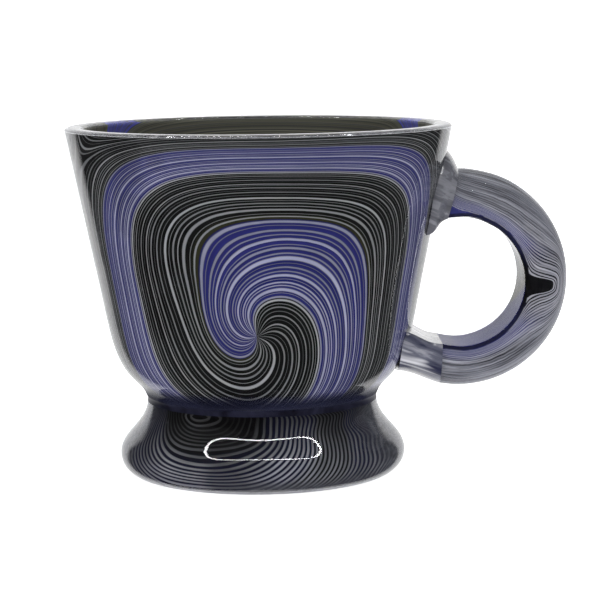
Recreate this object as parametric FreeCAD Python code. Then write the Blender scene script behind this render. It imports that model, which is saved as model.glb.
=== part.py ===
import FreeCAD, Part

import math
import os

# Shaving mug in lampworked borosilicate glass: a tapered bowl on a flared hollow foot, with a
# half-round rod bent round as a ring handle. Every coloured part is a gather of ground glass
# under a combed line-work layer under a clear casing, and clear glass seals join the gathers.
# Millimetres, +Z up, the foot's ground ring on Z = 0, the handle toward +X.

V = FreeCAD.Vector

# ---- heights of the rings where one gather meets the next ----
FOOT_BEAD_TOP = 1.2
FOOT_TOP = 18.2
SEAL_TOP = 19.8
BOWL_TOP = 85.5
LIP_TOP = 86.1

# ---- bowl: its outside and the cup of line work inside it, as (radius, z) ----
# each is a rounded shoulder that runs into a straight sloping wall
WALL_STATIONS = 6
BOWL_SHOULDER = ((28.75, SEAL_TOP), (30.0, 22.0), (32.2, 24.2), (35.5, 29.2))
BOWL_WALL_FOOT = (37.6, 36.0)
BOWL_RIM = (47.5, BOWL_TOP)
CUP_SHOULDER = ((0.0, 20.7), (12.0, 20.7), (22.0, 20.8), (29.3, 22.6), (33.4, 27.2), (35.4, 32.0))
CUP_WALL_FOOT = (36.6, 37.0)
CUP_WALL_END = (47.0, 88.0)
BOWL_LINEWORK_THICKNESS = 0.5
BOWL_GROUND_THICKNESS = 2.9
CUP_STATIONS = 48

# ---- lip: low fire-polished clear bead on the bowl's cut edge ----
LIP_CORNER_RADIUS = 0.45

# ---- foot: the four curves of its skirt from the bead up to the waist, as (radius, z) ----
FOOT_OUTSIDE = (
    (33.5, FOOT_BEAD_TOP), (34.72, 2.6), (35.4, 5.2), (34.85, 7.6), (33.2, 10.0), (31.2, 12.3),
    (29.5, 14.8), (28.5, FOOT_TOP),
)
FOOT_LINEWORK_OUTSIDE = (
    (32.1, FOOT_BEAD_TOP), (33.65, 2.8), (34.4, 5.1), (33.85, 7.1), (32.3, 9.3), (30.35, 11.5),
    (28.6, 14.3), (27.5, FOOT_TOP),
)
FOOT_GROUND_OUTSIDE = (
    (31.4, FOOT_BEAD_TOP), (33.1, 2.9), (33.9, 5.1), (33.4, 6.9), (31.9, 9.0), (29.95, 11.2),
    (28.15, 14.1), (27.0, FOOT_TOP),
)
FOOT_INSIDE = (
    (27.8, FOOT_BEAD_TOP), (28.4, 4.2), (28.0, 6.6), (27.0, 8.8), (25.6, 11.2), (24.5, 14.2),
    (24.0, FOOT_TOP),
)
FOOT_RING_INNER_RADIUS = 28.6
FOOT_RING_OUTER_RADIUS = 30.8

# ---- waist seal: the ring of clear glass between the foot and the bowl ----
SEAL_INNER_RADIUS = 22.0
SEAL_BULGE_RADIUS = 28.45

# ---- handle: a D section carried round between the finger hole's circle and the outer circle ----
FINGER_HOLE_CENTRE = (48.7, 47.6)
FINGER_HOLE_RADIUS = 15.8
HANDLE_OUTER_CENTRE = (49.0, 47.8)
HANDLE_OUTER_RADIUS = 26.9
# bearings of each end face from +X in degrees: (at the finger hole, at the outside)
HANDLE_UPPER_END = (101.0, 90.0)
HANDLE_LOWER_END = (-106.0, -101.0)
HANDLE_STATION_COUNT = 14
HANDLE_WIDTH = 21.5
HANDLE_CASING_THICKNESS = 0.9
HANDLE_LINEWORK_THICKNESS = 0.5
# the casing is drawn thin over the flat inner face: share of an inset that the flat keeps
FLAT_INSET_SHARE = 0.25
# D section as (share of the half width, share of the depth), from the flat round to the crown
SECTION_ARC = ((1.0, 0.10), (1.03, 0.30), (0.93, 0.58), (0.68, 0.83), (0.35, 0.96), (0.0, 1.0))
SECTION_FLAT_SHARE = 0.93

# ---- handle seals: sections past the handle's end into the bowl's wall, (inner, outer, width) ----
UPPER_SEAL = (
    ((43.95, 62.10), (48.10, 76.75), 22.6),
    ((42.60, 60.60), (46.75, 78.80), 25.4),
    ((40.20, 59.40), (44.20, 80.00), 27.0),
)
LOWER_SEAL = (
    ((41.20, 33.00), (41.00, 22.45), 22.2),
    ((38.20, 34.60), (37.40, 23.90), 24.6),
    ((34.60, 36.00), (33.40, 24.70), 26.0),
)


def with_wall(shoulder, wall_foot, wall_end):
    """Outline of a shoulder followed by even points up a straight wall."""
    wall = [
        tuple(a + (b - a) * i / WALL_STATIONS for a, b in zip(wall_foot, wall_end))
        for i in range(WALL_STATIONS + 1)
    ]
    return (*shoulder, *wall)


def spline(points):
    """Smooth curve through the points."""
    curve = Part.BSplineCurve()
    curve.interpolate([V(x, 0, z) for x, z in points])
    return curve


def segment(a, b):
    """Straight edge in the XZ plane."""
    return Part.LineSegment(V(a[0], 0, a[1]), V(b[0], 0, b[1])).toShape()


def revolved(edges):
    """Solid of revolution about Z from a closed run of edges in the XZ plane."""
    face = Part.Face(Part.Wire(edges))
    solid = face.revolve(V(0, 0, 0), V(0, 0, 1), 360)
    return Part.makeSolid(solid) if solid.ShapeType != "Solid" else solid


BOWL_OUTSIDE = with_wall(BOWL_SHOULDER, BOWL_WALL_FOOT, BOWL_RIM)
CUP_OUTSIDE = with_wall(CUP_SHOULDER, CUP_WALL_FOOT, CUP_WALL_END)


def cup_curve(inset):
    """The cup's outside moved toward its hollow by inset, stopped level with the bowl's top."""
    master = spline(CUP_OUTSIDE)
    first, last = master.FirstParameter, master.LastParameter
    points = []
    for i in range(CUP_STATIONS + 1):
        at = first + (last - first) * i / CUP_STATIONS
        p = master.value(at)
        t = master.tangent(at)[0]
        x = p.x - t.z * inset if i else 0.0
        z = p.z + t.x * inset
        if z >= BOWL_TOP:
            x0, z0 = points[-1]
            share = (BOWL_TOP - z0) / (z - z0)
            points.append((x0 + (x - x0) * share, BOWL_TOP))
            break
        points.append((x, z))
    return points


def layer(inner, outer):
    """Shell between two profile curves that both start on the axis and end level."""
    return revolved([
        spline(outer).toShape(),
        segment(outer[-1], inner[-1]),
        spline(inner).toShape(),
        segment(inner[0], outer[0]),
    ])


def bowl():
    """Casing, line work and ground of the bowl, its outside form, and its inner edge radius."""
    lines_outside = cup_curve(0.0)
    ground_outside = cup_curve(BOWL_LINEWORK_THICKNESS)
    inside = cup_curve(BOWL_LINEWORK_THICKNESS + BOWL_GROUND_THICKNESS)
    base = (0.0, SEAL_TOP)
    rim = (0.0, BOWL_TOP)
    outside = spline(BOWL_OUTSIDE).toShape()
    casing = revolved([
        outside,
        segment(BOWL_OUTSIDE[-1], lines_outside[-1]),
        spline(lines_outside).toShape(),
        segment(lines_outside[0], base),
        segment(base, BOWL_OUTSIDE[0]),
    ])
    form = revolved([
        outside,
        segment(BOWL_OUTSIDE[-1], rim),
        segment(rim, base),
        segment(base, BOWL_OUTSIDE[0]),
    ])
    linework = layer(ground_outside, lines_outside)
    ground = layer(inside, ground_outside)
    return casing, linework, ground, form, inside[-1][0]


def lip(inner_radius):
    """Low rounded clear bead on the bowl's cut edge."""
    outer_radius = BOWL_OUTSIDE[-1][0]
    shoulder = LIP_TOP - 0.14
    crown = spline((
        (outer_radius, BOWL_TOP),
        (outer_radius - LIP_CORNER_RADIUS, shoulder),
        ((inner_radius + outer_radius) / 2.0, LIP_TOP),
        (inner_radius + LIP_CORNER_RADIUS, shoulder),
        (inner_radius, BOWL_TOP),
    )).toShape()
    return revolved([crown, segment((inner_radius, BOWL_TOP), (outer_radius, BOWL_TOP))])


def skirt(inner, outer):
    """Layer of the foot between two of its curves."""
    return revolved([
        spline(outer).toShape(),
        segment(outer[-1], inner[-1]),
        spline(inner).toShape(),
        segment(inner[0], outer[0]),
    ])


def foot_bead():
    """Low clear ring under the skirt with its lower face ground flat."""
    outer_top = FOOT_OUTSIDE[0]
    inner_top = FOOT_INSIDE[0]
    outer_low = (FOOT_RING_OUTER_RADIUS, 0.0)
    inner_low = (FOOT_RING_INNER_RADIUS, 0.0)
    outer_arc = Part.Arc(V(outer_top[0], 0, outer_top[1]), V(32.35, 0, 0.4), V(outer_low[0], 0, 0))
    inner_arc = Part.Arc(V(inner_low[0], 0, 0), V(28.05, 0, 0.42), V(inner_top[0], 0, inner_top[1]))
    return revolved([
        outer_arc.toShape(),
        segment(outer_low, inner_low),
        inner_arc.toShape(),
        segment(inner_top, outer_top),
    ])


def waist_seal():
    """Ring of clear glass melted between the foot's top and the bowl's underside."""
    middle = (FOOT_TOP + SEAL_TOP) / 2.0
    outer = Part.Arc(
        V(FOOT_OUTSIDE[-1][0], 0, FOOT_TOP),
        V(SEAL_BULGE_RADIUS, 0, middle),
        V(BOWL_OUTSIDE[0][0], 0, SEAL_TOP),
    )
    return revolved([
        outer.toShape(),
        segment((BOWL_OUTSIDE[0][0], SEAL_TOP), (SEAL_INNER_RADIUS, SEAL_TOP)),
        segment((SEAL_INNER_RADIUS, SEAL_TOP), (SEAL_INNER_RADIUS, FOOT_TOP)),
        segment((SEAL_INNER_RADIUS, FOOT_TOP), (FOOT_OUTSIDE[-1][0], FOOT_TOP)),
    ])


def section(inner, outer, width, inset):
    """Closed D section on the chord from inner to outer, made smaller all round by inset."""
    dx, dz = outer[0] - inner[0], outer[1] - inner[1]
    depth = math.hypot(dx, dz)
    dx, dz = dx / depth, dz / depth
    half = width / 2.0 - inset
    low = FLAT_INSET_SHARE * inset
    tall = depth - inset - low

    def at(across, up):
        rise = low + up * tall
        return V(inner[0] + dx * rise, across * half, inner[1] + dz * rise)

    arc = [at(s, h) for s, h in SECTION_ARC]
    arc += [at(-s, h) for s, h in reversed(SECTION_ARC[:-1])]
    over = Part.BSplineCurve()
    over.interpolate(arc)
    flat = SECTION_FLAT_SHARE
    near = Part.Arc(arc[-1], at(-0.97, 0.03), at(-flat, 0.0))
    far = Part.Arc(at(flat, 0.0), at(0.97, 0.03), arc[0])
    face = Part.LineSegment(at(-flat, 0.0), at(flat, 0.0))
    return Part.Wire([over.toShape(), near.toShape(), face.toShape(), far.toShape()])


def on_circle(centre, radius, bearing):
    """Point of a circle in the XZ plane at a bearing in degrees from +X."""
    turn = math.radians(bearing)
    return centre[0] + radius * math.cos(turn), centre[1] + radius * math.sin(turn)


def handle_stations():
    """D section chords at even bearings. The end faces lean over to meet the bowl's wall."""
    first, last = HANDLE_UPPER_END[0], HANDLE_LOWER_END[0]
    stations = []
    for i in range(HANDLE_STATION_COUNT):
        bearing = first + (last - first) * i / (HANDLE_STATION_COUNT - 1)
        outer_bearing = min(max(bearing, HANDLE_LOWER_END[1]), HANDLE_UPPER_END[1])
        inner = on_circle(FINGER_HOLE_CENTRE, FINGER_HOLE_RADIUS, bearing)
        outer = on_circle(HANDLE_OUTER_CENTRE, HANDLE_OUTER_RADIUS, outer_bearing)
        stations.append((inner, outer, HANDLE_WIDTH))
    return stations


def lofted(stations, inset=0.0):
    """Smooth solid through D sections given as (inner, outer, width)."""
    wires = [section(a, b, w, inset) for a, b, w in stations]
    return Part.makeLoft(wires, True, False)


def handle():
    """Casing, line work and solid ground core of the bent handle."""
    stations = handle_stations()
    outside = lofted(stations)
    lines = lofted(stations, HANDLE_CASING_THICKNESS)
    core = lofted(stations, HANDLE_CASING_THICKNESS + HANDLE_LINEWORK_THICKNESS)
    return outside.cut(lines), lines.cut(core), core


def one_solid(shape):
    """The largest solid of a shape."""
    return max(shape.Solids, key=lambda s: s.Volume)


def build():
    """Every piece of glass by its node name."""
    bowl_casing, bowl_linework, bowl_ground, bowl_form, inner_radius = bowl()
    handle_casing, handle_linework, handle_ground = handle()
    upper_end, *_, lower_end = handle_stations()
    return {
        "bowl_ground": bowl_ground,
        "bowl_linework": bowl_linework,
        "bowl_casing": bowl_casing,
        "lip_bead": lip(inner_radius),
        "waist_seal": waist_seal(),
        "foot_ground": skirt(FOOT_INSIDE, FOOT_GROUND_OUTSIDE),
        "foot_linework": skirt(FOOT_GROUND_OUTSIDE, FOOT_LINEWORK_OUTSIDE),
        "foot_casing": skirt(FOOT_LINEWORK_OUTSIDE, FOOT_OUTSIDE),
        "foot_rim_bead": foot_bead(),
        "handle_ground": handle_ground,
        "handle_linework": handle_linework,
        "handle_casing": handle_casing,
        "upper_handle_seal": lofted((upper_end, *UPPER_SEAL)).cut(bowl_form),
        "lower_handle_seal": lofted((lower_end, *LOWER_SEAL)).cut(bowl_form),
    }


os.makedirs("parts", exist_ok=True)
for name, shape in build().items():
    solid = one_solid(shape)
    print(name, round(solid.Volume), solid.isValid(), len(shape.Solids))
    solid.exportStep("parts/" + name + ".step")
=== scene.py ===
import math

import bpy
import numpy as np
from mathutils import Matrix, Vector


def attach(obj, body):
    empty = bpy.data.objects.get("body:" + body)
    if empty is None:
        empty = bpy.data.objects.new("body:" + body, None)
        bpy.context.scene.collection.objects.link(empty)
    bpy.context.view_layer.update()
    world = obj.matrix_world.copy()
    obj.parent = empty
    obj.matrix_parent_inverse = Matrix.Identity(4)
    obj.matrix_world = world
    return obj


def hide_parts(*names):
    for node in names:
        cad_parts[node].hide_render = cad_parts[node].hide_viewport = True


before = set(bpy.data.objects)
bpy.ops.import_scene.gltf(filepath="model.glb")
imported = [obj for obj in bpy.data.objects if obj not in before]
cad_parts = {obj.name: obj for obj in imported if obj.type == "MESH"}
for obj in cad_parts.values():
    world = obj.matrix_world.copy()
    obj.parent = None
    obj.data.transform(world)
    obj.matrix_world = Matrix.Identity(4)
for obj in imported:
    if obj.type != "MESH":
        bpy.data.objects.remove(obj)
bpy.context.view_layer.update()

# Forms and meshes are in millimetres and degrees, and make_mesh scales them to metres. The lamps
# and the camera are placed in metres.
MM = 0.001

# ---------------------------------------------------------------- forms, as in the part
BOWL_TOP = 85.5
CUP_SHOULDER = ((0.0, 20.7), (12.0, 20.7), (22.0, 20.8), (29.3, 22.6), (33.4, 27.2), (35.4, 32.0))
CUP_WALL_FOOT = (36.6, 37.0)
CUP_WALL_END = (47.0, 88.0)
WALL_STATIONS = 6
CUP_OUTSIDE = CUP_SHOULDER + tuple(
    tuple(a + (b - a) * i / WALL_STATIONS for a, b in zip(CUP_WALL_FOOT, CUP_WALL_END))
    for i in range(WALL_STATIONS + 1)
)
FOOT_OUTSIDE = (
    (33.5, 1.2), (34.72, 2.6), (35.4, 5.2), (34.85, 7.6), (33.2, 10.0), (31.2, 12.3),
    (29.5, 14.8), (28.5, 18.2),
)
FOOT_LINEWORK_OUTSIDE = (
    (32.1, 1.2), (33.65, 2.8), (34.4, 5.1), (33.85, 7.1), (32.3, 9.3), (30.35, 11.5),
    (28.6, 14.3), (27.5, 18.2),
)
FOOT_GROUND_OUTSIDE = (
    (31.4, 1.2), (33.1, 2.9), (33.9, 5.1), (33.4, 6.9), (31.9, 9.0), (29.95, 11.2),
    (28.15, 14.1), (27.0, 18.2),
)
FINGER_HOLE_CENTRE = (48.7, 47.6)
FINGER_HOLE_RADIUS = 15.8
HANDLE_OUTER_CENTRE = (49.0, 47.8)
HANDLE_OUTER_RADIUS = 26.9
HANDLE_UPPER_END = (101.0, 90.0)
HANDLE_LOWER_END = (-106.0, -101.0)
HANDLE_STATION_COUNT = 14
HANDLE_WIDTH = 21.5
SECTION_ARC = ((1.0, 0.10), (1.03, 0.30), (0.93, 0.58), (0.68, 0.83), (0.35, 0.96), (0.0, 1.0))
SECTION_FLAT_SHARE = 0.93
SECTION_CORNER = (0.97, 0.03)
FLAT_INSET_SHARE = 0.25
CASING_THICKNESS = 0.9
LINEWORK_THICKNESS = 0.5
GROUND_THICKNESS = 2.9
# air left between neighbouring layers so that their faces never lie in one another
CLEARANCE = 0.05
# a point nearer the axis than this is on it
ON_AXIS = 1e-6

# ---------------------------------------------------------------- combed pattern of the bowl
# The swirl is a spiral round a pole. Its comb field falls away from the pole, and for each
# direction, in degrees clockwise from straight down, these are the millimetres from the pole at
# which the field has dropped to each level. Together with the bearing it counts the turns.
COMB_REACH = (
    (0, ((1.05, 0), (0.98, 3), (0.9, 8), (0.86, 12), (0.73, 17))),
    (45, ((0.89, 7), (0.75, 13), (0.6, 19), (0.3, 32))),
    (65, ((0.8, 11), (0.5, 22), (0.25, 34), (-0.1, 43))),
    (90, ((0.75, 13), (0.66, 18), (0.25, 33), (-0.25, 43), (-0.55, 54), (-0.75, 64))),
    (115, ((0.68, 15), (0.58, 20), (0.18, 37), (-0.32, 47), (-0.55, 58), (-0.73, 72))),
    (125, ((-0.65, 66), (-0.8, 78))),
    (135, ((0.87, 7), (0.63, 20), (0.12, 42), (-0.38, 52), (-0.7, 64))),
    (160, ((0.8, 12), (0.56, 25), (0.06, 40), (-0.44, 46), (-0.8, 50))),
    (180, ((1.0, 8), (0.75, 16), (0.5, 27), (0.0, 40), (-0.5, 44), (-0.9, 48))),
    (205, ((0.93, 10), (0.68, 20), (0.43, 29), (-0.07, 43), (-0.57, 48), (-0.95, 53))),
    (225, ((0.87, 13), (0.62, 22), (0.37, 32), (-0.13, 51), (-0.62, 58), (-1.0, 66))),
    (235, ((-0.95, 68), (-1.1, 79))),
    (245, ((0.82, 15), (0.57, 24), (0.32, 33), (-0.18, 48), (-0.68, 57), (-1.1, 72))),
    (270, ((1.0, 7), (0.81, 13), (0.75, 17), (0.5, 24), (0.25, 30), (-0.25, 45), (-0.75, 53),
           (-1.0, 60), (-1.2, 66))),
    (295, ((0.9, 9), (0.68, 20), (0.43, 27), (0.18, 33), (-0.32, 49), (-0.82, 57))),
    (320, ((0.82, 12), (0.61, 25), (0.36, 33), (0.11, 40))),
)
# the pole's place on the bowl, and the mean radius that turns degrees round it into arc
POLE_DEG = -1.7
POLE_Z = 38.9
ARC_PER_DEG = 42.0 * math.pi / 180.0
# half sizes and middle of the patch that the field's terms span, and how many terms there are
FIELD_U = 68.0
FIELD_W = 52.0
FIELD_W_MID = -4.0
FIELD_DEGREE = 8
FIELD_ROWS = 6
POLE_REACH = (12.0, 22.0)
FIELD_STIFFNESS = 0.002
# below this height from the pole the field stays as it is there
LOWEST_HEIGHT = -19.0
# the back's pole sits higher, and its pattern is drawn out sideways
BACK_LIFT = 9.5
BACK_SPREAD = 0.42


def field_terms(u, w):
    """Smooth functions of position that the comb field is a sum of, and their stiffness."""
    x = np.arccos(np.clip(u / FIELD_U, -1.0, 1.0))
    y = np.arccos(np.clip((w - FIELD_W_MID) / FIELD_W, -1.0, 1.0))
    terms, stiffness = [], []
    for i in range(FIELD_DEGREE + 1):
        for j in range(min(FIELD_ROWS, FIELD_DEGREE - i) + 1):
            terms.append(np.cos(i * x) * np.cos(j * y))
            stiffness.append(1.0 + i * i + j * j)
    for reach in POLE_REACH:
        hill = np.exp(-(u * u + w * w) / reach ** 2)
        terms += [hill, hill * u / reach, hill * w / reach]
        stiffness += [1.0] * 3
    return np.stack(terms, -1), np.array(stiffness)


def fit_comb():
    """Weights of the field terms that give the comb field its reach in each direction."""
    places = np.array([(math.radians(bearing), reach, level)
                       for bearing, steps in COMB_REACH for level, reach in steps])
    turn, reach, level = places.T
    terms, stiffness = field_terms(-reach * np.sin(turn), -reach * np.cos(turn))
    normal = terms.T @ terms + np.diag(FIELD_STIFFNESS * stiffness)
    return np.linalg.solve(normal, terms.T @ level)


COMB = fit_comb()


def smooth_step(x, lo, hi):
    """Smooth rise from 0 at lo to 1 at hi."""
    t = np.clip((x - lo) / (hi - lo), 0.0, 1.0)
    return t * t * (3.0 - 2.0 * t)


def bowl_comb(deg, z):
    """Arc and height from the pole, and the comb field there. The back mirrors the front."""
    deg = np.mod(deg + 180.0, 360.0) - 180.0
    behind = smooth_step(np.abs(deg), 90.0, 140.0)
    folded = np.where(np.abs(deg) > 90.0, np.sign(deg) * (180.0 - np.abs(deg)), deg)
    folded = folded * (1.0 - BACK_SPREAD * behind)
    u = (folded - POLE_DEG) * ARC_PER_DEG
    w = z - POLE_Z - BACK_LIFT * smooth_step(np.abs(deg), 80.0, 130.0)
    terms, _ = field_terms(u, np.maximum(w, LOWEST_HEIGHT))
    return np.stack([u, w, terms @ COMB], -1)


# ---------------------------------------------------------------- curves and meshes
def spline(points, count):
    """Natural cubic curve through the points, sampled evenly by its chord lengths."""
    p = np.array(points, float)
    t = np.concatenate([[0.0], np.cumsum(np.linalg.norm(np.diff(p, axis=0), axis=1))])
    h = np.diff(t)
    n = len(p)
    system = np.zeros((n, n))
    right = np.zeros((n, p.shape[1]))
    system[0, 0] = system[-1, -1] = 1.0
    for i in range(1, n - 1):
        system[i, i - 1:i + 2] = h[i - 1], 2.0 * (h[i - 1] + h[i]), h[i]
        right[i] = 6.0 * ((p[i + 1] - p[i]) / h[i] - (p[i] - p[i - 1]) / h[i - 1])
    bend = np.linalg.solve(system, right)
    at = np.linspace(0.0, t[-1], count)
    k = np.clip(np.searchsorted(t, at, side="right") - 1, 0, n - 2)
    a, b = (t[k + 1] - at)[:, None], (at - t[k])[:, None]
    step = h[k][:, None]
    return (bend[k] * a ** 3 + bend[k + 1] * b ** 3) / (6.0 * step) \
        + (p[k] / step - bend[k] * step / 6.0) * a + (p[k + 1] / step - bend[k + 1] * step / 6.0) * b


def inset_curve(curve, amount):
    """The (radius, z) curve moved toward the axis side by amount, points on the axis kept on it."""
    along = np.gradient(curve, axis=0)
    along /= np.linalg.norm(along, axis=1)[:, None]
    moved = curve + amount * np.stack([-along[:, 1], along[:, 0]], -1)
    moved[curve[:, 0] < ON_AXIS, 0] = 0.0
    return moved


def cut_level(curve, top):
    """The part of a rising curve below top, ending exactly on it."""
    last = int(np.argmax(curve[:, 1] > top))
    a, b = curve[last - 1], curve[last]
    end = a + (b - a) * (top - a[1]) / (b[1] - a[1])
    return np.vstack([curve[:last], end])


def make_mesh(name, verts, faces, fields):
    """Smooth mesh object from millimetre points, with a three-number field for each key."""
    mesh = bpy.data.meshes.new(name)
    mesh.from_pydata((verts * MM).tolist(), [], faces)
    mesh.update()
    for key, values in fields.items():
        layer = mesh.attributes.new(key, "FLOAT_VECTOR", "POINT")
        layer.data.foreach_set("vector", np.asarray(values, np.float32).ravel())
    mesh.shade_smooth()
    ob = bpy.data.objects.new(name, mesh)
    bpy.context.scene.collection.objects.link(ob)
    return ob


def revolve(name, profile, around, **fields):
    """Closed surface of revolution. A profile end on the axis closes in a fan."""
    degs = np.arange(around) * 360.0 / around - 180.0
    verts, faces, rows = [], [], []
    for r, z in profile:
        rows.append(len(verts))
        if r < ON_AXIS:
            verts.append((0.0, 0.0, z))
            continue
        rad = np.radians(degs)
        ring = np.stack([r * np.sin(rad), -r * np.cos(rad), np.full(around, z)], -1)
        verts.extend(ring.tolist())
    closed = profile[0][0] > ON_AXIS
    pairs = list(zip(rows, rows[1:])) + ([(rows[-1], rows[0])] if closed else [])
    for a, b in pairs:
        low_pole = a == 0 and not closed
        high_pole = b == rows[-1] and not closed
        for k in range(around):
            n = (k + 1) % around
            if low_pole:
                faces.append((a, b + n, b + k))
            elif high_pole:
                faces.append((a + k, a + n, b))
            else:
                faces.append((a + k, a + n, b + n, b + k))
    verts = np.array(verts)
    bearing = np.degrees(np.arctan2(verts[:, 0], -verts[:, 1]))
    values = {key: field(bearing, verts[:, 2]) for key, field in fields.items()}
    return make_mesh(name, verts, faces, values)


FLAT_POINTS = 14


def d_section(inner, outer, inset, count):
    """Points of the handle's D section, their share round it, whether on the flat, and side."""
    inner, outer = np.array(inner), np.array(outer)
    depth = np.linalg.norm(outer - inner)
    up = (outer - inner) / depth
    half = HANDLE_WIDTH / 2.0 - inset
    low = FLAT_INSET_SHARE * inset
    tall = depth - inset - low
    arc = [(-s, h) for s, h in SECTION_ARC] + [(s, h) for s, h in reversed(SECTION_ARC[:-1])]
    crown_points = count - FLAT_POINTS - 2
    over = spline(arc, crown_points)
    side, lift = SECTION_CORNER
    flat = np.linspace(SECTION_FLAT_SHARE, -SECTION_FLAT_SHARE, FLAT_POINTS)
    heights = np.concatenate([over[:, 1], [lift], np.zeros(FLAT_POINTS), [lift]])
    share = np.concatenate([np.linspace(0.0, 2.0, crown_points), [2.0], np.zeros(FLAT_POINTS), [0.0]])
    on_flat = np.concatenate([np.zeros(crown_points), [0.5], np.ones(FLAT_POINTS), [0.5]])
    across = np.concatenate([over[:, 0], [side], flat, [-side]])
    rise = low + heights * tall
    points = np.stack([inner[0] + up[0] * rise, across * half, inner[1] + up[1] * rise], -1)
    return points, share, on_flat, across


def handle_stations():
    """Chords (inner x, z, outer x, z) of the handle's D section, as in the part."""
    bearing = np.linspace(HANDLE_UPPER_END[0], HANDLE_LOWER_END[0], HANDLE_STATION_COUNT)
    outer_bearing = np.clip(bearing, HANDLE_LOWER_END[1], HANDLE_UPPER_END[1])
    chords = []
    for centre, radius, turn in ((FINGER_HOLE_CENTRE, FINGER_HOLE_RADIUS, np.radians(bearing)),
                                 (HANDLE_OUTER_CENTRE, HANDLE_OUTER_RADIUS,
                                  np.radians(outer_bearing))):
        chords += [centre[0] + radius * np.cos(turn), centre[1] + radius * np.sin(turn)]
    return np.stack(chords, -1)


def handle_skin(name, inset, around=96, along=360):
    """Closed sweep of the D section along the handle."""
    ends = spline(handle_stations(), along)
    middle = (ends[:, :2] + ends[:, 2:]) / 2.0
    run = np.concatenate([[0.0], np.cumsum(np.linalg.norm(np.diff(middle, axis=0), axis=1))])
    verts, shares, flats, sides = [], [], [], []
    for row in ends:
        points, share, on_flat, across = d_section(row[:2], row[2:], inset, around)
        verts.append(points)
        shares.append(np.minimum(share, 2.0 - share))
        flats.append(on_flat)
        sides.append(across)
    shares, flats, sides = np.array(shares), np.array(flats), np.array(sides)
    far = np.repeat(run[:, None], around, 1)
    comb = np.stack([far, shares, handle_number(run, shares)], -1)
    veil = np.stack([flats, sides, flats * 0.0], -1)
    faces = []
    for a in range(along - 1):
        for k in range(around):
            n = (k + 1) % around
            b = a + 1
            faces.append((a * around + k, b * around + k, b * around + n, a * around + n))
    faces.append(tuple(range(around)))
    faces.append(tuple((along - 1) * around + k for k in reversed(range(around))))
    return make_mesh(name, np.vstack(verts), faces, {"comb": comb, "veil": veil})


# ---------------------------------------------------------------- combed pattern of the foot
# Loops nested round the foot's hook: the stringer's number counted out from it, where the loop
# leaves the waist on the left, in degrees round, how low it dips, in millimetres up the skirt,
# and where it meets the waist again on the right.
FOOT_LOOPS = (
    (0, -42, 17, -21), (2, -45, 14.6, -15), (4, -49, 12.6, -9), (6, -53, 10.5, -2),
    (8, -57, 7, 4), (10, -60, 4.7, 10), (12, -63, 3.2, 14), (14, -67, 1.5, 18),
    (16, -71, -1, 22), (20, -82, -3, 30), (24, -95, -5, 38), (28, -110, -7, 46),
    (32, -130, -9, 57), (36, -150, -11, 70), (40, -170, -13, 84),
)
LOOP_POINTS = 25
LOOP_ROUNDNESS = 0.75
FOOT_HALF_TURN = 84.0
# length of the skirt's outside from the hem up to the waist
FOOT_RUN = 19.53
HOOK = (-24.0, 17.5)
HOOK_REACH = (10.0, 18.0)
HOOK_SQUEEZE = 0.35
FOOT_DEGREE = 11
FOOT_ROWS = 8
FOOT_STIFFNESS = 0.0004
FOOT_MM_PER_DEG = 0.56
# steps over which the field's slope is taken, in degrees round and millimetres up
SLOPE_DEG = 0.5
SLOPE_RUN = 0.2


def foot_terms(deg, run):
    """Smooth functions of place on the foot that its comb field is a sum of."""
    x = np.arccos(np.clip(deg / FOOT_HALF_TURN, -1.0, 1.0))
    y = np.arccos(np.clip(2.0 * run / FOOT_RUN - 1.0, -1.0, 1.0))
    terms, stiffness = [], []
    for i in range(FOOT_DEGREE + 1):
        for j in range(min(FOOT_ROWS, FOOT_DEGREE - i) + 1):
            terms.append(np.cos(i * x) * np.cos(j * y))
            stiffness.append(1.0 + i * i + j * j)
    for reach in HOOK_REACH:
        du, dw = (deg - HOOK[0]) / reach, (run - HOOK[1]) / (reach * HOOK_SQUEEZE)
        hill = np.exp(-(du * du + dw * dw))
        terms += [hill, hill * du, hill * dw]
        stiffness += [1.0] * 3
    return np.stack(terms, -1), np.array(stiffness)


def fit_foot_comb():
    """Weights of the field terms that make the foot's loops level lines."""
    turn = np.linspace(0.0, math.pi, LOOP_POINTS)
    across = -np.sign(np.cos(turn)) * np.abs(np.cos(turn)) ** LOOP_ROUNDNESS
    dip = np.sin(turn) ** LOOP_ROUNDNESS
    deg, run, level = [], [], []
    for number, left, lowest, right in FOOT_LOOPS:
        deg.append((left + right) / 2.0 + across * (right - left) / 2.0)
        run.append(FOOT_RUN - dip * (FOOT_RUN - lowest))
        level.append(np.full(LOOP_POINTS, float(number)))
    deg, run, level = map(np.concatenate, (deg, run, level))
    on_foot = (np.abs(deg) < FOOT_HALF_TURN) & (run >= 0.0)
    terms, stiffness = foot_terms(deg[on_foot], run[on_foot])
    normal = terms.T @ terms + np.diag(FOOT_STIFFNESS * stiffness)
    return np.linalg.solve(normal, terms.T @ level[on_foot])


FOOT_COMB = fit_foot_comb()


def fold_back(deg):
    """Angle from the front, with the back half mirrored onto the front."""
    deg = np.mod(deg + 180.0, 360.0) - 180.0
    return np.where(np.abs(deg) > 90.0, np.sign(deg) * (180.0 - np.abs(deg)), deg)


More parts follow.
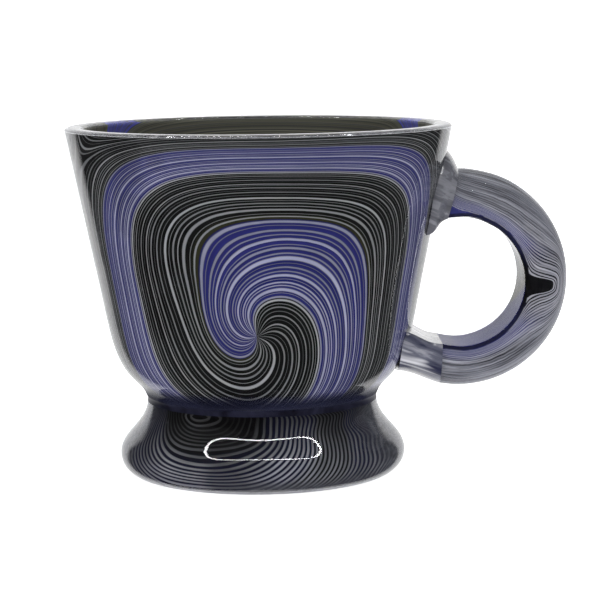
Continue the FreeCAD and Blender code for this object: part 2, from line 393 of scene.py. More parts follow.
def foot_comb(deg, z):
    """Stringers per millimetre, run up the skirt and stringer number."""
    folded = fold_back(deg)
    skirt = spline(FOOT_OUTSIDE, 200)
    climb = np.concatenate([[0.0], np.cumsum(np.linalg.norm(np.diff(skirt, axis=0), axis=1))])
    run = np.interp(z, skirt[:, 1], climb)
    terms, _ = foot_terms(folded, run)
    number = terms @ FOOT_COMB
    beside, _ = foot_terms(folded + SLOPE_DEG, run)
    above, _ = foot_terms(folded, run + SLOPE_RUN)
    per_mm = np.hypot((beside @ FOOT_COMB - number) / (SLOPE_DEG * FOOT_MM_PER_DEG),
                      (above @ FOOT_COMB - number) / SLOPE_RUN)
    return np.stack([per_mm, run, number], -1)


def foot_veil(deg, z):
    """Share of grey haze over the stringers toward the sides, its lightness, which rises toward the
    silhouettes as a painted reflection, and the angle from the front.
    """
    folded = fold_back(deg)
    right = smooth_step(folded, 46.0, 66.0)
    left = smooth_step(-folded, 60.0, 76.0) * 0.75
    hem = smooth_step(-z, -4.6, -1.8) * smooth_step(folded, -25.0, 5.0)
    share = np.maximum(np.maximum(right * 0.9, left), hem * 0.85)
    # painted reflection: the haze lightens toward the sides seen edge-on, standing partly for the
    # bright backdrop mirrored there
    light = 0.35 + 0.3 * smooth_step(np.abs(folded), 55.0, 80.0)
    return np.stack([share, light, folded], -1)


# ---------------------------------------------------------------- combed pattern of the handle
# Stringers of the handle's near side, as their share of the way from the inner crease up to the
# crown: near the upper end, at the pinch, and near the lower end, then how many millimetres
# along the handle the pinch reaches.
HANDLE_LINES = (
    (-0.02, 0.40, -0.02, 2.0), (0.01, 0.50, 0.01, 3.2), (0.02, 0.57, 0.03, 4.4),
    (0.05, 0.63, 0.05, 5.6), (0.08, 0.68, 0.08, 6.8), (0.12, 0.72, 0.14, 8.0),
    (0.18, 0.76, 0.20, 9.0), (0.25, 0.80, 0.31, 10.0), (0.32, 0.84, 0.41, 11.0),
    (0.40, 0.88, 0.52, 12.0), (0.48, 0.91, 0.62, 13.0), (0.57, 0.94, 0.72, 14.0),
    (0.64, 0.96, 0.82, 15.0), (0.74, 0.985, 0.92, 16.0), (1.02, 1.02, 1.02, 17.0),
)
# the lines spread up the side again where the handle joins the bowl
END_SPREAD = 0.16
END_REACH = 3.0
# how far along the handle the pinch is, and the handle's whole length
PINCH = 36.4
HANDLE_RUN = 73.3


def handle_number(along, share):
    """Stringer number on the near side at each place along the handle and up its side."""
    lines = np.array(HANDLE_LINES)
    upper, pinched, lower, reach = (column[:, None] for column in lines.T)
    rest = np.where(along < PINCH, upper, lower)
    bell = 1.0 / (1.0 + ((along - PINCH) / reach) ** 4)
    at = rest + (pinched - rest) * bell + END_SPREAD * np.exp(-along / END_REACH) * (rest < 1.0)
    at = np.maximum.accumulate(at + 1e-4 * np.arange(len(at))[:, None], axis=0)
    numbers = np.arange(len(lines), dtype=float)
    out = np.empty_like(share)
    for k in range(len(along)):
        below = (share[k] - at[0, k]) / 0.1
        out[k] = np.where(share[k] < at[0, k], below, np.interp(share[k], at[:, k], numbers))
    return out


# ---------------------------------------------------------------- coloured layers
CUP_POINTS = 150
FOOT_POINTS = (70, 20)
BOWL_AROUND = 300
FOOT_AROUND = 360

cup = spline(CUP_OUTSIDE, CUP_POINTS)
skin = cut_level(inset_curve(cup, CLEARANCE), BOWL_TOP - CLEARANCE)
under_skin = cut_level(inset_curve(cup, LINEWORK_THICKNESS - CLEARANCE), BOWL_TOP - CLEARANCE)
wall_out = cut_level(inset_curve(cup, LINEWORK_THICKNESS), BOWL_TOP - CLEARANCE)
wall_in = cut_level(inset_curve(cup, LINEWORK_THICKNESS + GROUND_THICKNESS), BOWL_TOP - CLEARANCE)
# the hidden side of each layer needs only every fourth point
bowl_lines = revolve("bowl_lines", np.vstack([skin, under_skin[::-4]]), BOWL_AROUND,
                     comb=bowl_comb)
bowl_wall = revolve("bowl_wall", np.vstack([wall_out[::4], wall_in[::-1]]), BOWL_AROUND,
                    comb=bowl_comb)
foot_out = inset_curve(spline(FOOT_LINEWORK_OUTSIDE, FOOT_POINTS[0]), CLEARANCE)
foot_in = inset_curve(spline(FOOT_GROUND_OUTSIDE, FOOT_POINTS[1]), -CLEARANCE)
foot_lines = revolve("foot_lines", np.vstack([foot_out, foot_in[::-1]]), FOOT_AROUND,
                     comb=foot_comb, veil=foot_veil)
handle_lines = handle_skin("handle_lines", CASING_THICKNESS + CLEARANCE)


# ---------------------------------------------------------------- material building
def srgb(*values):
    """Scene-linear colour from 0-255 display values."""
    out = [v / 255.0 for v in values]
    return [v / 12.92 if v <= 0.04045 else ((v + 0.055) / 1.055) ** 2.4 for v in out]


# coloured glass under a clear casing has next to no gloss of its own
SEALED_SPECULAR = 0.05


class Nodes:
    """Short words for building a node tree."""

    def __init__(self, name):
        self.mat = bpy.data.materials.new(name)
        self.mat.use_nodes = True
        self.tree = self.mat.node_tree
        self.tree.nodes.clear()
        self.out = self.tree.nodes.new("ShaderNodeOutputMaterial")

    def new(self, kind, **settings):
        node = self.tree.nodes.new(kind)
        for key, value in settings.items():
            setattr(node, key, value)
        return node

    def put(self, socket, value):
        if isinstance(value, bpy.types.NodeSocket):
            self.tree.links.new(value, socket)
        elif hasattr(value, "__len__") and len(value) == 3 and len(socket.default_value) == 4:
            socket.default_value = (*value, 1.0)
        else:
            socket.default_value = value

    def math(self, op, a, b=None, c=None, clamp=False):
        node = self.new("ShaderNodeMath", operation=op, use_clamp=clamp)
        for socket, value in zip(node.inputs, (a, b, c)):
            if value is not None:
                self.put(socket, value)
        return node.outputs[0]

    def mix(self, share, a, b):
        node = self.new("ShaderNodeMix", data_type="RGBA")
        self.put(node.inputs[0], share)
        self.put(node.inputs[6], a)
        self.put(node.inputs[7], b)
        return node.outputs[2]

    def ramp(self, share, stops):
        node = self.new("ShaderNodeValToRGB")
        self.put(node.inputs[0], share)
        marks = node.color_ramp.elements
        while len(marks) < len(stops):
            marks.new(0.5)
        for mark, (at, colour) in zip(marks, stops):
            mark.position = at
            mark.color = (*colour, 1.0) if hasattr(colour, "__len__") else (colour,) * 3 + (1.0,)
        return node.outputs[0]

    def blend(self, share, a, b):
        """Shader between two shaders."""
        node = self.new("ShaderNodeMixShader")
        self.put(node.inputs[0], share)
        self.tree.links.new(a, node.inputs[1])
        self.tree.links.new(b, node.inputs[2])
        return node.outputs[0]

    def noise(self, vector, scale, detail=2.0, roughness=0.5, distortion=0.0):
        node = self.new("ShaderNodeTexNoise")
        self.put(node.inputs["Vector"], vector)
        self.put(node.inputs["Scale"], scale)
        self.put(node.inputs["Detail"], detail)
        self.put(node.inputs["Roughness"], roughness)
        self.put(node.inputs["Distortion"], distortion)
        return node.outputs[0]

    def combine(self, x, y, z):
        node = self.new("ShaderNodeCombineXYZ")
        for socket, value in zip(node.inputs, (x, y, z)):
            self.put(socket, value)
        return node.outputs[0]

    def split(self, vector):
        node = self.new("ShaderNodeSeparateXYZ")
        self.put(node.inputs[0], vector)
        return node.outputs

    def field(self, name):
        return self.new("ShaderNodeAttribute", attribute_name=name).outputs["Vector"]

    def place(self):
        return self.new("ShaderNodeTexCoord").outputs["Object"]

    def bump(self, height, strength, distance):
        node = self.new("ShaderNodeBump")
        self.put(node.inputs["Strength"], strength)
        self.put(node.inputs["Distance"], distance)
        self.put(node.inputs["Height"], height)
        return node.outputs[0]

    def glass_colour(self, colour, roughness, normal):
        """Opaque coloured glass sealed under a clear casing."""
        node = self.new("ShaderNodeBsdfPrincipled")
        self.put(node.inputs["Base Color"], colour)
        self.put(node.inputs["Roughness"], roughness)
        self.put(node.inputs["Specular IOR Level"], SEALED_SPECULAR)
        self.put(node.inputs["Normal"], normal)
        self.tree.links.new(node.outputs[0], self.out.inputs[0])
        return self.mat


# Stringers laid across each colour of the ground, in turn broad, fine and middling
STRINGERS_PER_COLOUR = 19
STRINGER_WIDTHS = (0.030, 0.007, 0.019, 0.012)
BLUE_TONES = (75, 140)
BLACK_TONES = (62, 140)
BLUE_NARROWER = 0.9
BLACK_NARROWER = 0.72


def stringers(start, tones, narrower, seed):
    """Place in the repeat, width and display tone of each stringer over half a repeat."""
    draw = np.random.default_rng(seed)
    pitch = 0.5 / STRINGERS_PER_COLOUR
    laid = []
    for k in range(STRINGERS_PER_COLOUR):
        width = STRINGER_WIDTHS[k % len(STRINGER_WIDTHS)] * draw.uniform(0.75, 1.2) * narrower
        broad = width / max(STRINGER_WIDTHS)
        tone = tones[0] + (tones[1] - tones[0]) * min(1.0, 0.6 * broad + draw.uniform(0.0, 0.45))
        laid.append((start + pitch * (k + 0.5 + draw.uniform(-0.2, 0.2)), width, tone))
    return laid


STRINGERS = (stringers(0.0, BLUE_TONES, BLUE_NARROWER, 3)
             + stringers(0.5, BLACK_TONES, BLACK_NARROWER, 8))
# a colour ramp holds at most 32 stops, so the repeat is drawn in eighths
PARTS = 8
# share of a line's half width over which it keeps its full tone
FLAT_TOP = 0.45


def line_ramps(n, repeat):
    """Brightness of the stringer lines at a place in the repeat, from one ramp per eighth."""
    inside = n.math("FRACT", n.math("MULTIPLY", repeat, float(PARTS)))
    part = n.math("FLOOR", n.math("MULTIPLY", repeat, float(PARTS)))
    total = None
    for q in range(PARTS):
        stops = []
        for at, width, tone in STRINGERS:
            centre, half = at * PARTS - q, width * PARTS / 2.0
            if not 0.0 <= centre < 1.0:
                continue
            edge = stops[-1][0] if stops else -0.002
            stops.append((max(centre - half, edge + 0.002), 0.0))
            stops.append((max(centre - half * FLAT_TOP, edge + 0.004), srgb(tone)[0]))
            stops.append((min(centre + half * FLAT_TOP, 0.997), srgb(tone)[0]))
            stops.append((min(centre + half, 0.999), 0.0))
        here = n.math("COMPARE", part, float(q), 0.5)
        shown = n.math("MULTIPLY", n.ramp(inside, stops), here)
        total = shown if total is None else n.math("ADD", total, shown)
    return total


def swirl_material(name, line_gain, blue, black, olive):
    """Blue and black ground with pale stringer lines combed round the pole."""
    n = Nodes(name)
    u, w, comb = n.split(n.field("comb"))
    place = n.place()
    wobble = n.math("MULTIPLY", n.math("SUBTRACT", n.noise(place, 90.0, 3.0), 0.5), 0.012)
    round_pole = n.math("ARCTAN2", n.math("MULTIPLY", u, -1.0), n.math("MULTIPLY", w, -1.0))
    turns = n.math("ADD", n.math("DIVIDE", round_pole, 2.0 * math.pi), comb)
    repeat = n.math("FRACT", n.math("ADD", turns, wobble))
    lines = line_ramps(n, repeat)
    streak = n.noise(n.combine(n.math("MULTIPLY", repeat, 60.0), n.math("MULTIPLY", w, 0.02), 0.0),
                     1.0, 3.0, 0.6)
    blotch = n.noise(place, 60.0, 3.0, 0.55)
    blue_ground = n.ramp(streak, ((0.3, blue[0]), (0.7, blue[1])))
    black_ground = n.ramp(streak, ((0.35, black[0]), (0.75, black[1])))
    ground = n.mix(n.ramp(repeat, ((0.0, 1.0), (0.006, 0.0), (0.494, 0.0), (0.506, 1.0))),
                   blue_ground, black_ground)
    ground = n.mix(n.ramp(repeat, ((0.0, 0.5), (0.004, 0.0), (0.49, 0.0), (0.50, 0.9), (0.52, 0.0),
                                   (0.965, 0.0), (0.99, 0.8), (1.0, 0.7))),
                   ground, olive)
    height = n.ramp(n.math("MULTIPLY_ADD", w, 0.0143, 0.35), ((0.0, 1.15), (0.55, 1.0), (1.0, 0.9)))
    gain = n.math("MULTIPLY", n.math("MULTIPLY_ADD", blotch, 0.5, 0.75),
                  n.math("MULTIPLY", height, line_gain))
    shown = n.math("MULTIPLY", lines, gain)
    on_blue = n.math("LESS_THAN", repeat, 0.5)
    pale = n.mix(on_blue, n.combine(shown, n.math("MULTIPLY", shown, 1.01),
                                    n.math("MULTIPLY", shown, 1.05)),
                 n.combine(n.math("MULTIPLY", shown, 0.95), n.math("MULTIPLY", shown, 0.96),
                           n.math("MULTIPLY", shown, 1.3)))
    cover = n.math("MULTIPLY", lines, 9.0, clamp=True)
    colour = n.mix(cover, ground, pale)
    low = n.ramp(n.math("MULTIPLY_ADD", w, 0.05, 0.95), ((0.0, 0.85), (0.08, 0.6), (0.2, 0.0)))
    colour = n.mix(low, colour, n.ramp(streak, ((0.3, srgb(34, 36, 60)), (0.7, srgb(66, 68, 92)))))
    relief = n.bump(lines, 0.15, 0.0001)
    return n.glass_colour(colour, n.ramp(blotch, ((0.3, 0.32), (0.7, 0.5))), relief)


LINE_GAIN = 1.2
BLUE = (srgb(22, 23, 72), srgb(36, 37, 96))
BLACK = (srgb(1, 1, 2), srgb(8, 8, 7))
OLIVE = srgb(38, 38, 22)
INSIDE_LINE_GAIN = 0.7
INSIDE_BLUE = (srgb(92, 95, 190), srgb(112, 115, 212))
INSIDE_GREY = (srgb(84, 84, 74), srgb(128, 128, 112))
INSIDE_OLIVE = srgb(140, 145, 60)
bowl_lines.data.materials.append(swirl_material("combed_glass", LINE_GAIN, BLUE, BLACK, OLIVE))
bowl_wall.data.materials.append(swirl_material(
    "ground_glass_inside", INSIDE_LINE_GAIN, INSIDE_BLUE, INSIDE_GREY, INSIDE_OLIVE))

GLASS_IOR = 1.47
# well under glass's own, to keep white glare off the handle
HANDLE_IOR = 1.06
SMEAR_SCALE = 160.0
SEAM_SCALE = 40.0


def clear_glass(name, tint, smear_share=0.0, smear_colour=(0.6, 0.6, 0.65), ior=GLASS_IOR,
                low_tint=None):
    """Clear borosilicate. Only its outer face bends and mirrors light: behind it is glass too."""
    n = Nodes(name)
    place = n.place()
    glass = n.new("ShaderNodeBsdfGlass")
    n.put(glass.inputs["Color"], n.ramp(n.noise(place, 240.0, 2.0),
                                        ((0.3, tint), (0.7, (1.0, 1.0, 1.0)))))
    n.put(glass.inputs["IOR"], ior)
    n.put(glass.inputs["Roughness"], 0.0)
    n.put(glass.inputs["Normal"], n.bump(n.noise(place, 70.0, 2.0), 0.10, 0.0003))
    shell = glass.outputs[0]
    if smear_share:
        cloud = n.new("ShaderNodeBsdfDiffuse")
        n.put(cloud.inputs[0], smear_colour)
        smear = n.ramp(n.noise(place, SMEAR_SCALE, 4.0, 0.6, 1.5), ((0.35, 0.2), (0.7, 1.0)))
        shell = n.blend(n.math("MULTIPLY", smear, smear_share), shell, cloud.outputs[0])
    if low_tint:
        _, _, height = n.split(place)
        seam = n.new("ShaderNodeBsdfDiffuse")
        n.put(seam.inputs[0], n.ramp(n.noise(place, SEAM_SCALE, 2.0),
                                     ((0.3, low_tint[0]), (0.7, low_tint[1]))))
        rise = n.ramp(n.math("MULTIPLY", height, 25.0), ((0.0, 0.9), (0.51, 0.85), (0.60, 0.0)))
        shell = n.blend(rise, shell, seam.outputs[0])
    see = n.new("ShaderNodeBsdfTransparent")
    n.put(see.inputs[0], (0.97, 0.97, 0.97))
    back = n.new("ShaderNodeNewGeometry").outputs["Backfacing"]
    shadow = n.new("ShaderNodeLightPath").outputs["Is Shadow Ray"]
    both = n.blend(n.math("MAXIMUM", back, shadow), shell, see.outputs[0])
    n.tree.links.new(both, n.out.inputs[0])
    return n.mat


CLEAR = (0.95, 0.96, 0.98)
WAIST_TINT = (srgb(10, 11, 24), srgb(40, 42, 62))
PIECES = {
    "bowl_casing": clear_glass("clear_casing_bowl", CLEAR, low_tint=WAIST_TINT),
    "foot_casing": clear_glass("clear_casing_foot", CLEAR),
    "handle_casing": clear_glass("clear_casing_handle", CLEAR, ior=HANDLE_IOR),
    # the lip's pale cloud stands partly for milky glass on the rim top and partly as painted
    # reflection of the bright backdrop there
    "lip_bead": clear_glass("fire_polished_lip", CLEAR, 0.25, (0.5, 0.5, 0.55)),
    "foot_rim_bead": clear_glass("ground_foot_edge", CLEAR, 0.4),
}


def dark_glass(name, low, high):
    """Streaky dark glass with little gloss."""
    n = Nodes(name)
    streak = n.noise(n.place(), 120.0, 4.0, 0.6, 1.0)
    return n.glass_colour(n.ramp(streak, ((0.3, low), (0.7, high))), 0.35,
                          n.bump(streak, 0.1, 0.0002))


def smoky_glass(name, low, high, pale, glint_share):
    """Clear seal with the coloured layers smeared through it, a coat over them, and painted
    highlights: pale glints laid into its base colour.
    """
    n = Nodes(name)
    x, y, z = n.split(n.place())
    slope = n.math("MULTIPLY_ADD", x, 0.45, z)
    drawn = n.combine(n.math("MULTIPLY", x, 18.0), n.math("MULTIPLY", y, 110.0),
                      n.math("MULTIPLY", slope, 190.0))
    streak = n.noise(drawn, 1.6, 4.0, 0.6, 0.3)
    swirl = n.noise(drawn, 0.9, 3.0, 0.5, 0.5)
    colour = n.ramp(streak, ((0.34, low), (0.5, high), (0.66, pale)))
    # painted highlights: a share of the seal's base colour is turned pale grey to stand for glints
    glint = n.ramp(swirl, ((0.0, 0.0), (1.0 - glint_share, 0.0), (1.03 - glint_share, 1.0)))
    colour = n.mix(glint, colour, (0.75, 0.75, 0.8))
    body = n.new("ShaderNodeBsdfPrincipled")
    n.put(body.inputs["Base Color"], colour)
    n.put(body.inputs["Roughness"], n.ramp(streak, ((0.3, 0.15), (0.7, 0.35))))
    n.put(body.inputs["Specular IOR Level"], 0.5)
    n.put(body.inputs["Coat Weight"], 0.6)
    n.put(body.inputs["Coat Roughness"], 0.05)
    n.put(body.inputs["Normal"], n.bump(streak, 0.04, 0.0002))
    n.tree.links.new(body.outputs[0], n.out.inputs[0])
    return n.mat


PIECES["upper_handle_seal"] = smoky_glass("seal_glass_upper", srgb(78, 79, 86),
                                          srgb(106, 107, 115), srgb(138, 139, 147), 0.14)
PIECES["lower_handle_seal"] = smoky_glass("seal_glass_lower", srgb(44, 46, 70),
                                          srgb(100, 102, 118), srgb(158, 159, 170), 0.38)
PIECES["waist_seal"] = dark_glass("waist_seal_glass", srgb(10, 10, 20), srgb(42, 43, 62))
PIECES["foot_ground"] = dark_glass("foot_ground_glass", srgb(16, 16, 40), srgb(38, 38, 90))
PIECES["handle_ground"] = dark_glass("handle_ground_glass", srgb(24, 24, 60), srgb(50, 50, 120))


FOOT_LINE_GAIN = 0.8


def foot_material(name):
    """Stringers looped round the foot's hook on black ground inside and navy outside."""
    n = Nodes(name)
    per_mm, run, number = n.split(n.field("comb"))
    veil, veil_light, deg = n.split(n.field("veil"))
    place = n.place()
    wobble = n.math("MULTIPLY", n.math("SUBTRACT", n.noise(place, 110.0, 2.0), 0.5), 0.22)
    count = n.math("ADD", number, wobble)
    off = n.math("ABSOLUTE", n.math("SUBTRACT", n.math("FRACT", n.math("ADD", count, 0.5)), 0.5))
    order = n.math("DIVIDE", count, float(FOOT_LOOPS[-1][0]))
    half_mm = n.ramp(order, ((0.0, 0.40), (0.03, 0.22), (0.13, 0.22), (0.14, 0.62), (0.16, 0.62),
                             (0.17, 0.3), (0.22, 0.42), (0.4, 0.40), (0.8, 0.4)))
    half_width = n.math("MINIMUM", n.math("MULTIPLY", half_mm, per_mm), 0.24)
    edge = n.math("DIVIDE", n.math("SUBTRACT", half_width, off), n.math("MULTIPLY", per_mm, 0.2))
    line = n.math("ADD", edge, 0.5, clamp=True)
    tone = n.ramp(order, ((0.0, srgb(125, 125, 128)), (0.03, srgb(72, 72, 72)),
                          (0.12, srgb(80, 80, 82)), (0.16, srgb(92, 92, 96)),
                          (0.2, srgb(128, 128, 132)), (0.35, srgb(140, 140, 148)),
                          (0.5, srgb(104, 104, 110)), (0.8, srgb(95, 95, 100))))
    rise = n.ramp(n.math("DIVIDE", run, FOOT_RUN), ((0.0, 0.9), (0.2, 1.4), (0.45, 1.0),
                                                    (0.75, 0.4), (1.0, 0.2)))
    streak = n.noise(n.combine(n.math("MULTIPLY", count, 3.0), n.math("MULTIPLY", deg, 0.03),
                               n.math("MULTIPLY", run, 0.1)), 1.0, 3.0, 0.6)
    patch = n.ramp(n.noise(place, 38.0, 2.0), ((0.36, 0.35), (0.62, 1.35)))
    strength = n.math("MULTIPLY", n.math("MULTIPLY", rise, patch), FOOT_LINE_GAIN)
    bright = n.math("MULTIPLY", strength, n.math("MULTIPLY_ADD", streak, 1.6, 0.1))
    scale = n.new("ShaderNodeVectorMath", operation="SCALE")
    n.put(scale.inputs[0], tone)
    n.put(scale.inputs["Scale"], bright)
    ground = n.ramp(order, ((0.0, srgb(5, 5, 6)), (0.16, srgb(7, 7, 9)), (0.2, srgb(12, 12, 30)),
                            (0.42, srgb(14, 14, 34)), (0.45, srgb(9, 9, 12)),
                            (0.64, srgb(10, 10, 14)), (0.68, srgb(20, 21, 40)),
                            (1.0, srgb(24, 25, 38))))
    colour = n.mix(line, ground, scale.outputs[0])
    smear = n.noise(n.combine(n.math("MULTIPLY", count, 0.9), n.math("MULTIPLY", deg, 0.01), run),
                    1.0, 4.0, 0.65)
    # grey haze over the stringers, partly the glass's own and lighter toward the sides as a painted
    # reflection
    haze_and_sheen = n.ramp(n.math("MULTIPLY", smear, veil_light), ((0.08, srgb(40, 41, 46)),
                                                         (0.25, srgb(78, 79, 85)),
                                                         (0.45, srgb(128, 129, 136))))
    colour = n.mix(veil, colour, haze_and_sheen)
    return n.glass_colour(colour, n.ramp(streak, ((0.3, 0.3), (0.7, 0.5))),
                          n.bump(line, 0.15, 0.0001))


def handle_material(name):
    """Stringers drawn along the handle and pinched together at its far bend."""
    n = Nodes(name)
    along, share, number = n.split(n.field("comb"))
    flat, side, _ = n.split(n.field("veil"))
    place = n.place()
    wobble = n.math("MULTIPLY", n.math("SUBTRACT", n.noise(place, 200.0, 3.0), 0.5), 0.5)
    count = n.math("ADD", number, wobble)
    twice = n.math("MULTIPLY", count, 2.0)
    off = n.math("ABSOLUTE", n.math("SUBTRACT", n.math("FRACT", n.math("ADD", twice, 0.5)), 0.5))
    near_pinch = n.ramp(n.math("DIVIDE", n.math("ABSOLUTE", n.math("SUBTRACT", along, PINCH)), 40.0),
                        ((0.0, 1.0), (0.12, 1.0), (0.3, 0.0)))
    order = n.math("DIVIDE", count, float(len(HANDLE_LINES) - 1))
    line = n.math("MULTIPLY_ADD", n.math("SUBTRACT", 0.27, off), 7.0, 0.5, clamp=True)
    below = n.math("LESS_THAN", count, -0.35)
    streak = n.noise(n.combine(n.math("MULTIPLY", count, 1.5), n.math("MULTIPLY", along, 0.045), 0.0),
                     1.0, 4.0, 0.7)
    fine = n.noise(n.combine(n.math("MULTIPLY", count, 9.0), n.math("MULTIPLY", along, 0.06), 3.0),
                   1.0, 3.0, 0.6)
    navy = n.mix(near_pinch, srgb(46, 48, 104), srgb(8, 8, 12))
    grey = n.ramp(n.math("ADD", n.math("MULTIPLY", streak, 0.55), n.math("MULTIPLY", fine, 0.45)),
                  ((0.38, srgb(10, 10, 13)), (0.45, srgb(64, 65, 72)), (0.54, srgb(116, 117, 125)),
                   (0.64, srgb(168, 169, 176))))
    body = n.mix(n.ramp(order, ((0.0, 0.0), (0.27, 0.0), (0.4, 1.0))), navy, grey)
    body = n.mix(n.math("MULTIPLY", near_pinch, n.ramp(order, ((0.3, 1.0), (0.75, 0.0)))),
                 body, n.mix(n.ramp(streak, ((0.5, 0.0), (0.56, 1.0))), srgb(12, 12, 16),
                             srgb(120, 120, 128)))
    pale = n.ramp(streak, ((0.3, srgb(110, 110, 120)), (0.7, srgb(168, 168, 176))))
    shown = n.math("MULTIPLY", line, n.ramp(order, ((0.0, 1.0), (0.3, 0.9), (0.45, 0.5),
                                                    (0.8, 0.3))))
    colour = n.mix(n.math("MULTIPLY", shown, 0.9), body, pale)
    colour = n.mix(below, colour, n.mix(near_pinch, srgb(44, 46, 100), srgb(6, 6, 8)))
    slant = n.math("ADD", along, n.math("MULTIPLY", side, -5.0))
    face = n.ramp(n.math("DIVIDE", n.math("ADD", slant, n.math("MULTIPLY", streak, 2.0)), HANDLE_RUN),
                  ((0.0, srgb(20, 22, 52)), (0.36, srgb(16, 16, 34)), (0.40, srgb(16, 14, 12)),
                   (0.45, srgb(58, 52, 42)), (0.56, srgb(60, 60, 48)), (0.60, srgb(28, 30, 96)),
                   (1.0, srgb(36, 38, 122))))
    colour = n.mix(n.math("GREATER_THAN", flat, 0.55), colour, face)
    # painted shade: the colour is darkened along the crease between the domed crown and the flat
    # inner face
    crease_shade = n.math("SUBTRACT", 1.0, n.math("ABSOLUTE", n.math("MULTIPLY_ADD", flat, 2.0, -1.0)))
    colour = n.mix(n.math("MULTIPLY", crease_shade, 3.0, clamp=True), colour,
                   n.mix(near_pinch, srgb(26, 27, 52), srgb(8, 8, 8)))
    return n.glass_colour(colour, n.ramp(streak, ((0.3, 0.3), (0.7, 0.5))),
                          n.bump(line, 0.12, 0.0001))


foot_lines.data.materials.append(foot_material("foot_combed_glass"))
handle_lines.data.materials.append(handle_material("handle_combed_glass"))

for node, material in PIECES.items():
    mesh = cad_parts[node].data
    mesh.materials.clear()
    mesh.materials.append(material)

STANDS_FOR = (
    (bowl_lines, "bowl_linework"), (bowl_wall, "bowl_ground"), (foot_lines, "foot_linework"),
    (handle_lines, "handle_linework"),
)
for piece, node in STANDS_FOR:
    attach(piece, "root")
    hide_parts(node)

# ---------------------------------------------------------------- floor, light and camera
FLOOR_HALF = 4000.0
FLOOR_DROP = 0.02
floor_corners = np.array([(x, y, -FLOOR_DROP) for x, y in
                          ((-FLOOR_HALF, -FLOOR_HALF), (FLOOR_HALF, -FLOOR_HALF),
                           (FLOOR_HALF, FLOOR_HALF), (-FLOOR_HALF, FLOOR_HALF))])
floor = make_mesh("floor", floor_corners, [(0, 1, 2, 3)], {})
paper = Nodes("white_paper_painted_shadow")
sheet = paper.new("ShaderNodeBsdfPrincipled")
grain = paper.noise(paper.place(), 900.0, 2.0)
paper.put(sheet.inputs["Base Color"], paper.ramp(grain, ((0.3, (0.9, 0.9, 0.9)),
                                                         (0.7, (0.93, 0.93, 0.93)))))
paper.put(sheet.inputs["Roughness"], 0.9)
paper.put(sheet.inputs["Emission Color"], (1.0, 1.0, 1.0, 1.0))
# painted shadow: the floor's glow is dimmed round the mug, darkest under it, and rises past white
# further out
reach = paper.new("ShaderNodeVectorMath", operation="LENGTH")
paper.put(reach.inputs[0], paper.place())
paper.put(sheet.inputs["Emission Strength"],
          paper.ramp(reach.outputs["Value"], ((0.0, 0.75), (0.06, 0.8), (0.2, 1.1))))
paper.tree.links.new(sheet.outputs[0], paper.out.inputs[0])
floor.data.materials.append(paper.mat)
floor.visible_glossy = False

# the backdrop ends where the cosine of the angle from straight behind falls to its edge, fades
# over twice its softness, and is brighter than white
BACKDROP_EDGE = 0.77
BACKDROP_SOFTNESS = 0.05
BACKDROP_LEVEL = 1.15
ROOM_LEVEL = 0.03
world = bpy.data.worlds.new("studio")
bpy.context.scene.world = world
world.use_nodes = True
tree = world.node_tree
tree.nodes.clear()
coords = tree.nodes.new("ShaderNodeTexCoord")
flat_way = tree.nodes.new("ShaderNodeVectorMath")
flat_way.operation = "MULTIPLY"
flat_way.inputs[1].default_value = (1.0, 1.0, 0.0)
tree.links.new(coords.outputs["Generated"], flat_way.inputs[0])
unit = tree.nodes.new("ShaderNodeVectorMath")
unit.operation = "NORMALIZE"
tree.links.new(flat_way.outputs[0], unit.inputs[0])
split = tree.nodes.new("ShaderNodeSeparateXYZ")
tree.links.new(unit.outputs[0], split.inputs[0])
fade = tree.nodes.new("ShaderNodeMapRange")
fade.interpolation_type = "SMOOTHSTEP"
for key, value in (("From Min", BACKDROP_EDGE - BACKDROP_SOFTNESS),
                   ("From Max", BACKDROP_EDGE + BACKDROP_SOFTNESS),
                   ("To Min", ROOM_LEVEL), ("To Max", BACKDROP_LEVEL)):
    fade.inputs[key].default_value = value
tree.links.new(split.outputs["Y"], fade.inputs["Value"])
sky = tree.nodes.new("ShaderNodeBackground")
sky.inputs["Color"].default_value = (1.0, 1.0, 1.0, 1.0)
tree.links.new(fade.outputs["Result"], sky.inputs["Strength"])
world_out = tree.nodes.new("ShaderNodeOutputWorld")
tree.links.new(sky.outputs[0], world_out.inputs[0])

AIM = Vector((0.005, 0.0, 0.045))


def soft_light(name, place, size, power):
    """Large soft lamp aimed at the mug that leaves no reflection of itself."""
    data = bpy.data.lights.new(name, "AREA")
    data.shape = "RECTANGLE"
    data.size, data.size_y = size
    data.energy = power
    ob = bpy.data.objects.new(name, data)
    bpy.context.scene.collection.objects.link(ob)
    ob.location = place
    ob.rotation_euler = (AIM - Vector(place)).to_track_quat("-Z", "Y").to_euler()
    ob.visible_glossy = False


soft_light("key_left", (-0.75, -0.85, 0.55), (0.8, 0.8), 4.2)
soft_light("key_right", (0.75, -0.85, 0.55), (0.8, 0.8), 3.0)
soft_light("top", (0.0, -0.1, 1.1), (1.2, 1.2), 4.0)

# Thin bright rim of a rounded softbox overhead and in front, aimed at the mug and seen only in
# the glass
SOFTBOX_DISTANCE = 1200.0
SOFTBOX_ELEVATION = math.radians(79.0)
SOFTBOX_HALF = (720.0, 370.0)
SOFTBOX_EDGE = 45.0
SOFTBOX_ROUNDNESS = 0.6
RIM_POINTS = 48
FRAME_GLOW = 25.0


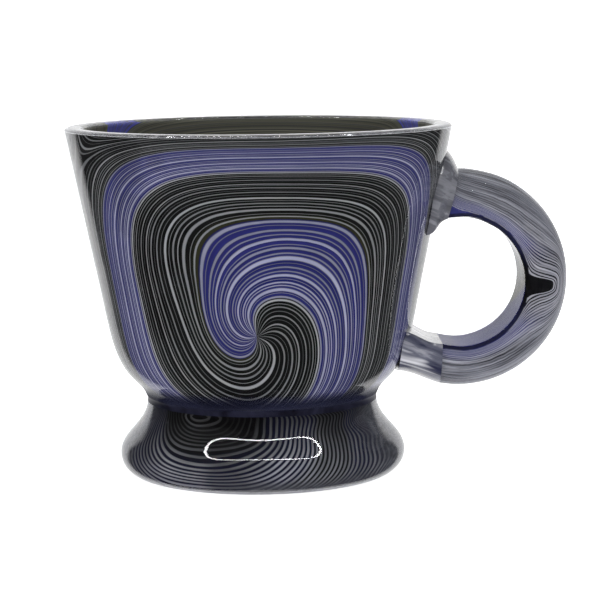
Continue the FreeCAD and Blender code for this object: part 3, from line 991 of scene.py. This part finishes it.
def rim(grow):
    """Points round the softbox's rounded outline, grown by a margin."""
    turn = np.arange(RIM_POINTS) * 2.0 * math.pi / RIM_POINTS
    across, rise = [(half + grow) * np.sign(wave) * np.abs(wave) ** SOFTBOX_ROUNDNESS
                    for half, wave in zip(SOFTBOX_HALF, (np.cos(turn), np.sin(turn)))]
    climb, out = math.sin(SOFTBOX_ELEVATION), math.cos(SOFTBOX_ELEVATION)
    return np.column_stack([across, rise * climb - SOFTBOX_DISTANCE * out,
                            rise * out + SOFTBOX_DISTANCE * climb])


frame_faces = [(k, (k + 1) % RIM_POINTS, RIM_POINTS + (k + 1) % RIM_POINTS, RIM_POINTS + k)
               for k in range(RIM_POINTS)]
softbox = make_mesh("softbox_frame", np.vstack([rim(0.0), rim(SOFTBOX_EDGE)]), frame_faces, {})
glow = Nodes("softbox_glow")
lamp = glow.new("ShaderNodeEmission")
glow.put(lamp.inputs["Strength"], FRAME_GLOW)
glow.tree.links.new(lamp.outputs[0], glow.out.inputs[0])
softbox.data.materials.append(glow.mat)
softbox.visible_camera = False
softbox.visible_diffuse = False
softbox.visible_transmission = False
softbox.visible_shadow = False

CAMERA_PLACE = (0.0, -0.5654, 0.1155)
YAW = math.radians(0.98)
PITCH = math.radians(7.76)
ROLL = math.radians(-0.70)
SENSOR_WIDTH = 36.0
LENS = 137.86
SHIFT_Y = 0.0268

ahead = Vector((math.sin(YAW), math.cos(YAW), 0.0))
right = Vector((math.cos(YAW), -math.sin(YAW), 0.0))
forward = ahead * math.cos(PITCH) - Vector((0, 0, 1)) * math.sin(PITCH)
up = ahead * math.sin(PITCH) + Vector((0, 0, 1)) * math.cos(PITCH)
camera_x = right * math.cos(ROLL) + up * math.sin(ROLL)
camera_y = up * math.cos(ROLL) - right * math.sin(ROLL)
camera_data = bpy.data.cameras.new("camera")
camera_data.sensor_width = SENSOR_WIDTH
camera_data.lens = LENS
camera_data.shift_y = SHIFT_Y
camera = bpy.data.objects.new("camera", camera_data)
bpy.context.scene.collection.objects.link(camera)
pose = Matrix((camera_x, camera_y, -forward)).transposed().to_4x4()
pose.translation = Vector(CAMERA_PLACE)
camera.matrix_world = pose
bpy.context.scene.camera = camera
bpy.context.scene.view_settings.view_transform = "Standard"
